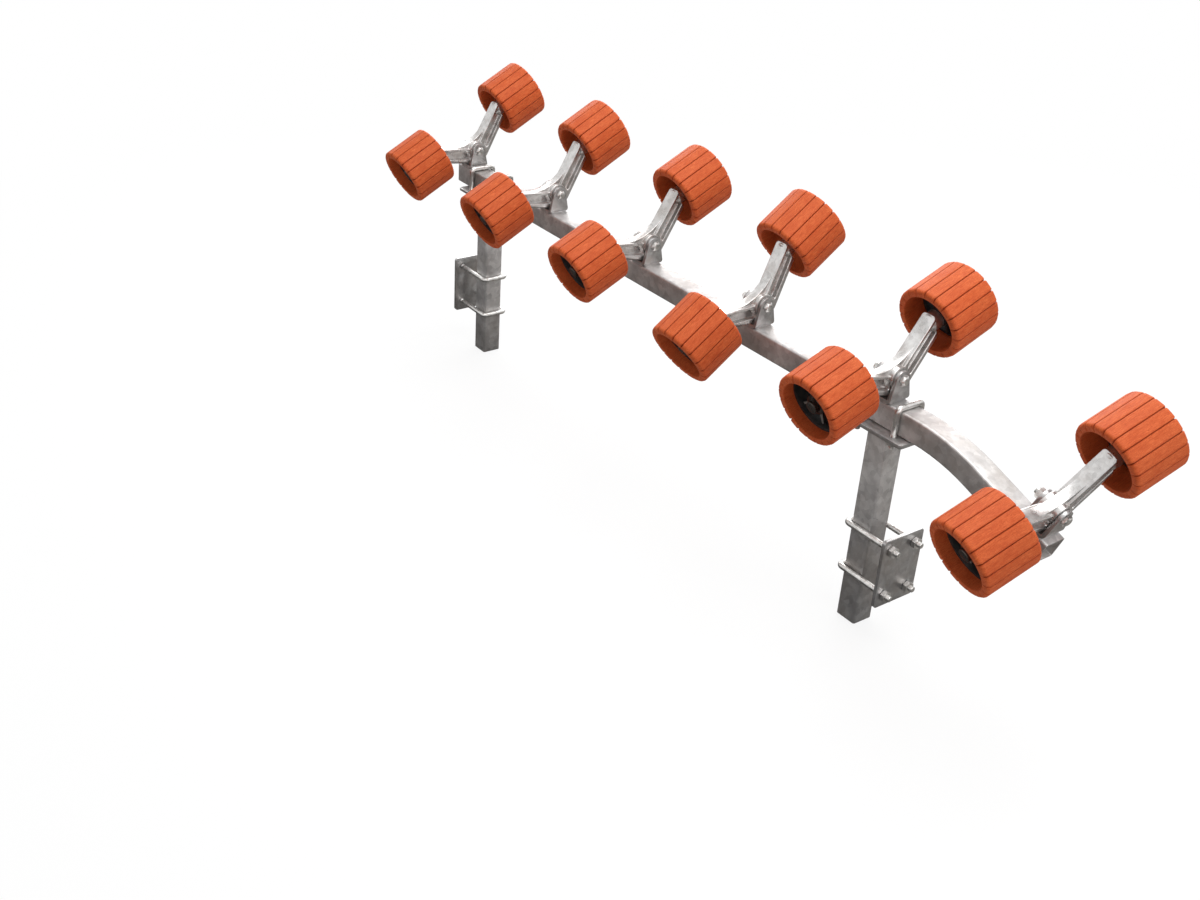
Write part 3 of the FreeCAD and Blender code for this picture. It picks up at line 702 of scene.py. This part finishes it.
# %% [markdown]
# ## Bosses, collars and stub axles
# The pivot boss in the middle of the arm, and the collar and stub axle at each end, are turned, so they
# are spun from their outlines and stand in the casting. The attribute that the finish reads for its painted
# shade is set on all that lies beyond the collars' faces: there the roller turns, and the axle is in shade.

# %% Arm ends
def add_turned(bm, profile, steps, place, closed=True):
    """Spins an outline in a place of its own and adds it to the form."""
    part = bmesh.new()
    turned(part, profile, steps, closed)
    bmesh.ops.transform(part, matrix=place, verts=part.verts)
    held = bpy.data.meshes.new("held")
    part.to_mesh(held)
    part.free()
    bm.from_mesh(held)
    bpy.data.meshes.remove(held)


BOSS_RADIUS = 18.0
BOSS_HALF = 15.5
BOSS_BORE = 6.1
COLLAR_ROOT = ARM_REACH - 9.0
COLLAR_ROOT_RADIUS = 8.0
COLLAR_START = ARM_REACH - 3.0
COLLAR_RADIUS = 15.0
COLLAR_FACE = 99.6
AXLE_RADIUS = 10.0
AXLE_TIP = 159.3
quarter_turn = Matrix.Rotation(math.radians(90), 4, "Z")


def add_arm_ends(bm):
    """Pivot boss, collars and the stub axles that the rollers turn on."""
    add_turned(bm, rounded([(-BOSS_HALF, BOSS_BORE), (-BOSS_HALF, BOSS_RADIUS, 1.5),
                            (BOSS_HALF, BOSS_RADIUS, 1.5), (BOSS_HALF, BOSS_BORE)], 3), 48, quarter_turn)
    for side in (-1, 1):
        stub = [(COLLAR_ROOT, 0.0), (COLLAR_ROOT, COLLAR_ROOT_RADIUS, 3.0),
                (COLLAR_START, COLLAR_RADIUS, 3.0), (COLLAR_FACE, COLLAR_RADIUS, 1.2),
                (COLLAR_FACE, AXLE_RADIUS, 0.8), (AXLE_TIP, AXLE_RADIUS, 1.5), (AXLE_TIP, 0.0)]
        outline = [(along * side, radius) for along, radius in rounded(stub, 3)]
        add_turned(bm, outline, 40, Matrix.Translation((0, 0, AXLE_HEIGHT)), False)
    # Painted shade: marks the stub axles beyond the collars' faces to be darkened
    greased = bm.verts.layers.float.new("greased")
    for vert in bm.verts:
        vert[greased] = 1.0 if abs(vert.co.y) > COLLAR_FACE - 0.5 else 0.0


for number in STATIONS:
    form = make_arm()
    add_arm_ends(form)
    arm = finished("cast_arm_%d" % number, form, cast_steel, "rocker_%d" % number,
                   [arm_places[number]], ["rocker_arm_%d" % number], 40)
print("arm:", len(arm.data.polygons), "faces")

# %% [markdown]
# ## Beam, posts, plates and brackets
# These are plain workshop pieces whose form the frame already holds, but a cut edge in steel is never
# razor sharp, and a galvanised one least of all. A copy of the frame's mesh is merged into whole faces,
# its sharp edges are bevelled by less than a millimetre, and the copy takes the place of the original.
# The brackets' ears are first drawn in about their bolt, because the real ones are slimmer than their
# foot.

# %% Softened copies of the frame's plates and tubes
SHARP_ANGLE = math.radians(30)


def softened(node, name, material, body, width, reshape=None):
    """Puts a copy with bevelled edges, a width in millimetres, in the place of a frame's piece."""
    bm = bmesh.new()
    bm.from_mesh(frame["nodes"][node].data)
    bmesh.ops.scale(bm, vec=(1 / MM,) * 3, verts=bm.verts)
    bmesh.ops.remove_doubles(bm, verts=bm.verts, dist=0.002)
    bmesh.ops.dissolve_limit(bm, angle_limit=math.radians(0.5), verts=bm.verts, edges=bm.edges,
                             use_dissolve_boundaries=False, delimit=set())
    if reshape:
        reshape(bm)
    edges = [edge for edge in bm.edges if len(edge.link_faces) == 2
             and edge.calc_face_angle() > SHARP_ANGLE]
    bmesh.ops.bevel(bm, geom=edges, offset=width, segments=2, profile=0.5, affect="EDGES",
                    material=-1, clamp_overlap=True)
    finished(name, bm, material, body, replaced=[node], sharp=32)


TUBE_EDGE = 0.4
PLATE_EDGE = 0.9
BRACKET_EDGE = 0.7
EAR_HALF = 14.0
FRAME_EAR_HALF = 20.5
EAR_FOOT = -20.0
BOLT_SURROUND = 12.0


def narrowed_ears(place):
    """Draws a bracket's ears in about its bolt, while its foot keeps the full width."""
    def reshape(bm):
        inward = place.inverted()
        for vert in bm.verts:
            local = inward @ (vert.co * MM) / MM
            if local.z > EAR_FOOT and math.hypot(local.y, local.z) > BOLT_SURROUND:
                local.y *= EAR_HALF / FRAME_EAR_HALF
                local.z *= EAR_HALF / FRAME_EAR_HALF if local.z > 0 else 1
                vert.co = place @ (local * MM) / MM
    return reshape


POSTS = ("front", "rear")
softened("beam", "bent_beam", tube_steel, "bank", TUBE_EDGE)
for word in POSTS:
    softened(word + "_post", word + "_clamping_post", tube_steel, "bank", TUBE_EDGE)
    softened(word + "_saddle", word + "_saddle_plate", plate_steel, "bank", PLATE_EDGE)
    softened(word + "_clamp_plate", word + "_drilled_plate", plate_steel, word + "_clamp",
             PLATE_EDGE)
for number in STATIONS:
    softened("pivot_bracket_%d" % number, "folded_bracket_%d" % number, plate_steel, "bank",
             BRACKET_EDGE, narrowed_ears(level_places[number]))
print("softened:", 1 + 3 * len(POSTS) + len(STATIONS), "of the frame's pieces")

# %% [markdown]
# ## Nuts and bolt heads
# A real hexagon is turned before it is tapped: its corners are cut off by a cone, which leaves the bright
# round edge on every nut. Spinning a cylinder and drawing each vertex out to the six flats gives the
# hexagon, and lowering the far corners down the cone gives the chamfer. The heads of the pivot bolts are
# forged and rounder on top, which is what the crown is for.

# %% Hexagon form
HEXAGON_STEPS = 72
FACE_SHARE = 0.95
ROUND_SHARE = 0.93
FIRST_CHAMFER = 0.6


def make_hexagon(flats, height, crown, hole):
    """A nut or head that stands from Y = 0, chamfered on both faces, with a crown on the far one."""
    apothem = flats / 2
    face = apothem * FACE_SHARE
    bm = bmesh.new()
    turned(bm, [(0, hole), (0, face), (FIRST_CHAMFER, apothem), (height / 2, apothem),
                (height - crown, apothem), (height - crown * 0.3, apothem - crown * 0.45),
                (height, face - crown), (height, hole)], HEXAGON_STEPS, hole > 0)
    for vert in bm.verts:
        radius = math.hypot(vert.co.x, vert.co.z)
        if radius < apothem * ROUND_SHARE:
            continue
        angle = math.atan2(vert.co.x, vert.co.z)
        from_flat = (angle + math.pi / 6) % (math.pi / 3) - math.pi / 6
        reach = apothem / math.cos(from_flat)
        fall = (reach - face) * math.tan(math.radians(30))
        vert.co.x *= reach / radius
        vert.co.z *= reach / radius
        if vert.co.y > height * 0.6:
            vert.co.y = height - fall
        elif vert.co.y < height * 0.4:
            vert.co.y = fall
    return bm


def swing(bm, degrees, axis):
    """Turns the whole form about an axis through its origin."""
    bmesh.ops.rotate(bm, cent=(0, 0, 0), matrix=Matrix.Rotation(math.radians(degrees), 3, axis),
                     verts=bm.verts)


# %% Pivot bolts and nuts
EAR_OUTSIDE = 22.0
BOLT_RADIUS = 6.0
BOLT_TIP = -34.0
# Width over the flats, height and crown
BOLT_HEAD = (16.0, 7.5, 3.0)
PIVOT_NUT = (15.5, 8.5, 1.5)


def make_bolt():
    """Bolt along X: head at the front, threaded end behind."""
    bm = make_hexagon(*BOLT_HEAD, 0.0)
    bmesh.ops.translate(bm, vec=(0, EAR_OUTSIDE, 0), verts=bm.verts)
    shank = rounded([(BOLT_TIP, 0.0), (BOLT_TIP, BOLT_RADIUS, 0.9), (EAR_OUTSIDE + 1, BOLT_RADIUS),
                     (EAR_OUTSIDE + 1, 0.0)], 2)
    add_turned(bm, shank, 32, ORIGIN, False)
    swing(bm, -90, "Z")
    return bm


def make_pivot_nut():
    bm = make_hexagon(*PIVOT_NUT, BOLT_RADIUS)
    bmesh.ops.translate(bm, vec=(0, EAR_OUTSIDE, 0), verts=bm.verts)
    swing(bm, 90, "Z")
    return bm


pivots = [level_places[number] for number in STATIONS]
finished("hexagon_bolts", make_bolt(), zinc_steel, "bank", pivots, ["pivot_bolts"])
finished("hexagon_nuts", make_pivot_nut(), zinc_steel, "bank", pivots, ["pivot_nuts"])
print("pivot bolts and nuts at", len(pivots), "stations")

# %% [markdown]
# ## U-bolts
# Each U-bolt is a length of round rod. It is made the way it is bent: a disc is pushed out along the first
# leg, swung round the first bend, pushed across, swung round the second bend and pushed down the other
# leg. The rod's ends are chamfered, and a thread shows past the nuts as fine rings.

# %% U-bolt form
ROD_RADIUS = 5.0
ROD_BEND = 7.0
LEG_OFFSET = 25.5
CROWN_DROP = 45.3
TIP_CHAMFER = 0.8
THREAD_LENGTH = 24.0
THREAD_PITCH = 1.5
THREAD_ROOT = 0.9


def push(bm, edges, vector):
    """Extrudes an edge ring by a vector and returns the new ring."""
    made = bmesh.ops.extrude_edge_only(bm, edges=edges)["geom"]
    verts = [item for item in made if isinstance(item, bmesh.types.BMVert)]
    bmesh.ops.translate(bm, vec=vector, verts=verts)
    return verts, [item for item in made if isinstance(item, bmesh.types.BMEdge)
                   and item.verts[0] in verts and item.verts[1] in verts]


def resize(bm, verts, factors):
    """Scales a ring about its own middle."""
    middle = sum((vert.co for vert in verts), Vector()) / len(verts)
    bmesh.ops.scale(bm, vec=factors, verts=verts, space=Matrix.Translation(-middle))


def make_u_bolt(leg):
    """Legs down, the crown's middle line at the origin."""
    bm = bmesh.new()
    disc = bmesh.ops.create_circle(bm, cap_ends=True, radius=ROD_RADIUS * TIP_CHAMFER, segments=20)
    bmesh.ops.translate(bm, vec=(0, -LEG_OFFSET, -leg), verts=disc["verts"])
    verts, ring = push(bm, bm.edges[:], (0, 0, TIP_CHAMFER))
    resize(bm, verts, (1 / TIP_CHAMFER, 1 / TIP_CHAMFER, 1))
    thread_steps = int(THREAD_LENGTH / THREAD_PITCH * 2)
    for step in range(thread_steps):
        verts, ring = push(bm, ring, (0, 0, THREAD_PITCH / 2))
        factor = 1 / THREAD_ROOT if step % 2 else THREAD_ROOT
        resize(bm, verts, (factor, factor, 1))
    straight = leg - TIP_CHAMFER - THREAD_PITCH / 2 * thread_steps - ROD_BEND
    verts, ring = push(bm, ring, (0, 0, straight))
    turn = bmesh.ops.spin(bm, geom=verts + ring, cent=(0, -LEG_OFFSET + ROD_BEND, -ROD_BEND),
                          axis=(1, 0, 0), dvec=(0, 0, 0), angle=-math.pi / 2, steps=8, use_merge=False,
                          use_duplicate=False, use_normal_flip=False)["geom_last"]
    push(bm, [item for item in turn if isinstance(item, bmesh.types.BMEdge)],
         (0, LEG_OFFSET - ROD_BEND, 0))
    half = bm.verts[:] + bm.edges[:] + bm.faces[:]
    bmesh.ops.mirror(bm, geom=half, matrix=ORIGIN, axis="Y", merge_dist=0.05)
    return bm


# %% U-bolts over the tube
PAST_PLATE = 21.0
SADDLE_SPACING = 72.0
ROD_NUT = (17.0, 8.0, 0.6)
saddle_low, saddle_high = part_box("front_saddle")
rod_level = saddle_high.z / MM + CROWN_DROP
post_middles = {word: sum(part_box(word + "_post")[end].x for end in (0, 1)) / 2 / MM for word in POSTS}


def make_rod_nut():
    """Nut under a plate, pointing down."""
    bm = make_hexagon(*ROD_NUT, ROD_RADIUS)
    swing(bm, -90, "X")
    return bm


rods = [shifted(ORIGIN, post_middles[word] + SADDLE_SPACING / 2 * end, 0, rod_level)
        for word in POSTS for end in (-1, 1)]
nuts = [shifted(rod, 0, LEG_OFFSET * edge, saddle_low.z / MM - rod_level)
        for rod in rods for edge in (-1, 1)]
finished("saddle_rods", make_u_bolt(CROWN_DROP + PAST_PLATE), zinc_steel, "bank", rods,
         ["saddle_u_bolts"])
finished("saddle_rod_nuts", make_rod_nut(), zinc_steel, "bank", nuts, ["saddle_nuts"])
print("saddle rods at", [round(rod.translation.x, 3) for rod in rods])

# %% U-bolts round the cross-members
TUBE_WIDTH = 40.0
CLAMP_GAP = 46.0
CLAMP_SPACING = 82.0
PLATE_THICKNESS = 6.0
for word, side in (("front", 1), ("rear", -1)):
    seat = shifted(ORIGIN, post_middles[word] + TUBE_WIDTH / 2 * side, 0, 0)
    outward = Matrix.Rotation(math.radians(-90 * side), 4, "Y")
    face = (CLAMP_GAP + PLATE_THICKNESS) * side
    rods = [shifted(seat, -CROWN_DROP * side, 0, CLAMP_SPACING / 2 * level) @ outward
            for level in (-1, 1)]
    nuts = [shifted(seat, face, LEG_OFFSET * edge, CLAMP_SPACING / 2 * level) @ outward
            for level in (-1, 1) for edge in (-1, 1)]
    finished(word + "_clamp_rods", make_u_bolt(CROWN_DROP + CLAMP_GAP + PAST_PLATE), zinc_steel,
             word + "_clamp", rods, [word + "_clamp_u_bolts"])
    finished(word + "_clamp_rod_nuts", make_rod_nut(), zinc_steel, word + "_clamp", nuts,
             [word + "_clamp_nuts"])
    print(word, "clamp:", len(rods), "U-bolts and", len(nuts), "nuts")

# %% [markdown]
# ## Washers and split pins
# A washer and a split pin keep each roller on its axle. The pin is one piece of half-round wire folded
# back on itself, with an eye above the axle and two legs spread below it. A curve with a round bevel
# follows that line, and the finished curve is turned into a mesh.

# %% Axle keepers
WASHER_FACE = 148.4
WASHER_BACK = WASHER_FACE + 2.5
WASHER_RADIUS = 16.0
WASHER_BORE = AXLE_RADIUS + 0.1
PIN_RADIUS = 0.9
PIN_REACH = 153.3
PIN_LINE = ((1.1, 0, -14.5), (1.0, 0, -10.5), (0.55, 0, -9), (0.55, 0, 9.5), (2.6, 0, 12.0), (2.4, 0, 14.6),
            (0, 0, 15.7), (-2.4, 0, 14.6), (-2.6, 0, 12.0), (-0.55, 0, 9.5), (-0.55, 0, -9),
            (-1.2, 0, -10.5), (-3.6, 0, -13.5))


def add_split_pin(bm, place):
    line = bpy.data.curves.new("split_pin_line", "CURVE")
    line.dimensions = "3D"
    line.bevel_depth = PIN_RADIUS
    line.bevel_resolution = 3
    line.use_fill_caps = True
    spline = line.splines.new("POLY")
    spline.points.add(len(PIN_LINE) - 1)
    for point, at in zip(spline.points, PIN_LINE):
        point.co = (*at, 1.0)
    holder = bpy.data.objects.new("split_pin_holder", line)
    mesh = bpy.data.meshes.new_from_object(holder)
    mesh.transform(place)
    first = len(bm.verts)
    bm.from_mesh(mesh)
    bm.verts.ensure_lookup_table()
    bmesh.ops.remove_doubles(bm, verts=bm.verts[first:], dist=0.001)
    bpy.data.objects.remove(holder)
    bpy.data.meshes.remove(mesh)
    bpy.data.curves.remove(line)


def make_keepers():
    bm = bmesh.new()
    for side in (-1, 1):
        washer = [(WASHER_FACE * side, WASHER_BORE), (WASHER_FACE * side, WASHER_RADIUS, 0.5),
                  (WASHER_BACK * side, WASHER_RADIUS, 0.7), (WASHER_BACK * side, WASHER_BORE)]
        add_turned(bm, rounded(washer, 2), 48, Matrix.Translation((0, 0, AXLE_HEIGHT)))
        add_split_pin(bm, Matrix.Translation((0, PIN_REACH * side, AXLE_HEIGHT)))
    return bm


for number in STATIONS:
    finished("washers_and_pins_%d" % number, make_keepers(), shaded_zinc, "rocker_%d" % number,
             [arm_places[number]], ["axle_keepers_%d" % number])
print("keepers:", 2 * len(STATIONS), "washers, each with its split pin")

# %% [markdown]
# ## Weld beads
# The posts are welded under their saddles and the brackets on the tube. A bead laid by hand is a row of
# overlapping ripples, so a small ring is pushed along in short steps that swell and shrink. It is half
# sunk in the corner that it fills, under the same zinc as the plates.

# %% Welds
BEAD_STEP = 1.2
BEAD_END = 0.6
BEAD_RIPPLE = 0.86
# A bead's length and radius
POST_BEAD = (33.0, 2.6)
SIDE_BEAD = (30.0, 2.2)
END_BEAD = (34.0, 2.8)
# How far a bead's line lies from the middle of its post or bracket, and how high above it
POST_BEAD_AWAY = 19.6
POST_BEAD_DROP = 0.6
SIDE_BEAD_LINE = (18.4, -38.4)
END_BEAD_LINE = (16.8, -36.6)


def make_bead(length, radius):
    """A rippled bead along X, about its middle."""
    bm = bmesh.new()
    bmesh.ops.create_circle(bm, cap_ends=True, radius=radius * BEAD_END, segments=12)
    swing(bm, 90, "Y")
    ring = bm.edges[:]
    ripples = [BEAD_RIPPLE if step % 2 else 1 / BEAD_RIPPLE for step in range(int(length / BEAD_STEP) - 2)]
    factors = [1 / BEAD_END] + ripples + [BEAD_END]
    for factor in factors:
        verts, ring = push(bm, ring, (length / len(factors), 0, 0))
        resize(bm, verts, (1, factor, factor))
    bmesh.ops.contextual_create(bm, geom=ring)
    bmesh.ops.translate(bm, vec=(-length / 2, 0, 0), verts=bm.verts)
    return bm


for word in POSTS:
    head = shifted(ORIGIN, post_middles[word], 0, saddle_low.z / MM - POST_BEAD_DROP)
    sides = []
    for side in (-1, 1):
        sides.append(shifted(head, 0, POST_BEAD_AWAY * side, 0))
        sides.append(shifted(head, POST_BEAD_AWAY * side, 0, 0) @ quarter_turn)
    finished(word + "_post_weld", make_bead(*POST_BEAD), plate_steel, "bank", sides)
flanks = []
ends = []
for number in STATIONS:
    for side in (-1, 1):
        away, level = SIDE_BEAD_LINE
        flanks.append(shifted(level_places[number], 0, away * side, level))
        away, level = END_BEAD_LINE
        ends.append(shifted(level_places[number], away * side, 0, level) @ quarter_turn)
finished("bracket_side_welds", make_bead(*SIDE_BEAD), plate_steel, "bank", flanks)
finished("bracket_end_welds", make_bead(*END_BEAD), plate_steel, "bank", ends)
print("beads:", 4 * len(POSTS) + len(flanks) + len(ends))

# %% [markdown]
# ## Floor and light
# The bank stands on a plain pale floor in a soft studio. The floor's white comes from its own material
# and not from more light on the object, so the material asks what kind of ray meets it. The camera sees
# a white floor that keeps the shadow and fades to plain white further away. A mirror ray meets a darker
# ground, dim below the bank and paler to its sides, because steel only shows its shape on a white floor
# where it mirrors something darker. Every other ray meets a mid grey, which throws a natural amount of
# light back up. The room dims in the same way for all rays that only carry light. Three lamps do the
# rest: a wide panel behind and above, a ceiling, and a weak fill beyond the bent end.

# %% Floor
FLOOR_SIZE = 40.0
FLOOR_GAP = 0.5
SEEN_WHITE = shade(0.92, 0.92, 0.92)
BOUNCE_GREY = shade(0.48, 0.46, 0.44)
DIM_GROUND = shade(0.02, 0.018, 0.018)
# Painted reflection: the ground that mirror rays meet, from the bank's right to its left, dim below it
MIRRORED_GROUND = ((0.05, shade(0.12, 0.11, 0.10)), (0.30, DIM_GROUND), (0.46, DIM_GROUND),
                   (0.64, shade(0.20, 0.19, 0.175)))
# How plainly white the floor looks to the camera, by a quarter of the distance in metres
PLAIN_WHITE = ((0.2, 0.84), (0.7, 1.0))


def make_floor():
    bm = bmesh.new()
    bmesh.ops.create_grid(bm, x_segments=1, y_segments=1, size=FLOOR_SIZE / 2)
    lowest = min(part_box("front_post")[0].z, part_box("rear_post")[0].z)
    bmesh.ops.translate(bm, vec=(0, 0, lowest - FLOOR_GAP * MM), verts=bm.verts)
    mesh = bpy.data.meshes.new("floor")
    bm.to_mesh(mesh)
    bm.free()
    floor = bpy.data.objects.new("floor", mesh)
    bpy.context.scene.collection.objects.link(floor)
    return floor


def seen_or_mirrored(finish, seen, mirrored):
    """What a camera or clear ray meets, what a mirror ray meets, and zero for the light on things."""
    camera_ray = finish.add("ShaderNodeLightPath", output="Is Camera Ray")
    clear_ray = finish.add("ShaderNodeLightPath", output="Is Transmission Ray")
    glossy_ray = finish.add("ShaderNodeLightPath", output="Is Glossy Ray")
    return camera_ray.sum("MAXIMUM", camera_ray, clear_ray) * seen + glossy_ray * mirrored


floor = make_floor()
ground = Finish("pale_floor", Roughness=0.9, Specular_IOR_Level=0.1)
across = ground.add("ShaderNodeSeparateXYZ", {}, {"Vector": ground.place()}, output="Y")
mirrored = ground.ramp(across + 0.5, *MIRRORED_GROUND)
unseen = ground.mix(seen_or_mirrored(ground, 0.0, 1.0), BOUNCE_GREY, mirrored)
ground.wire("Base Color", ground.mix(seen_or_mirrored(ground, 1.0, 0.0), unseen, SEEN_WHITE))
away = ground.add("ShaderNodeVectorMath", {"operation": "LENGTH"}, {0: ground.place()}, output="Value")
plain = ground.ramp(away * 0.25, *PLAIN_WHITE)
white = ground.add("ShaderNodeEmission", {}, {"Color": shade(1.0, 1.0, 1.0), "Strength": 1.0})
mixed = ground.add("ShaderNodeMixShader", {}, {0: seen_or_mirrored(ground, plain, 0.05),
                                               1: Value(ground, ground.surface.outputs[0]), 2: white})
ground.feed(ground.tree.nodes["Material Output"].inputs["Surface"], mixed)
floor.data.materials.append(ground.material)
print("floor at", round(floor.data.vertices[0].co.z, 4))

# %% World and lamps
ROOM_LEVEL = 0.36
# Name, place from the bank's middle in metres, width, height and power
LAMPS = (("back_panel", (-2.1, 1.9, 1.35), 4.0, 1.9, 80.0),
         ("ceiling", (0.3, 0.2, 2.8), 3.0, 2.4, 76.0),
         ("side_fill", (2.6, 0.2, 1.0), 1.6, 1.6, 16.0))
world = bpy.data.worlds.new("studio")
bpy.context.scene.world = world
world.use_nodes = True
sky = world.node_tree.nodes["Background"]


class Room(Finish):
    """The world's own node tree, with the same methods as a finish."""

    def __init__(self, tree):
        self.tree = tree


room = Room(world.node_tree)
sky.inputs["Color"].default_value = shade(1.0, 1.0, 1.0)
light_only = 1 - seen_or_mirrored(room, 1.0, 1.0)
room.feed(sky.inputs["Strength"], 1 - light_only * (1 - ROOM_LEVEL))

low, high = frame_box
middle = (Vector(low) + Vector(high)) / 2
for name, offset, width, height, power in LAMPS:
    data = bpy.data.lights.new(name, "AREA")
    data.shape = "RECTANGLE"
    data.size = width
    data.size_y = height
    data.energy = power
    lamp = bpy.data.objects.new(name, data)
    bpy.context.scene.collection.objects.link(lamp)
    position = middle + Vector(offset)
    aim = (middle - position).to_track_quat("-Z", "Y")
    lamp.matrix_world = Matrix.Translation(position) @ aim.to_matrix().to_4x4()
print("lamps:", ", ".join(name for name, *_ in LAMPS))

# %% View settings
bpy.context.scene.view_settings.view_transform = "Standard"

# %% The frame's size
print("frame", [[round(n, 3) for n in corner] for corner in frame_box])
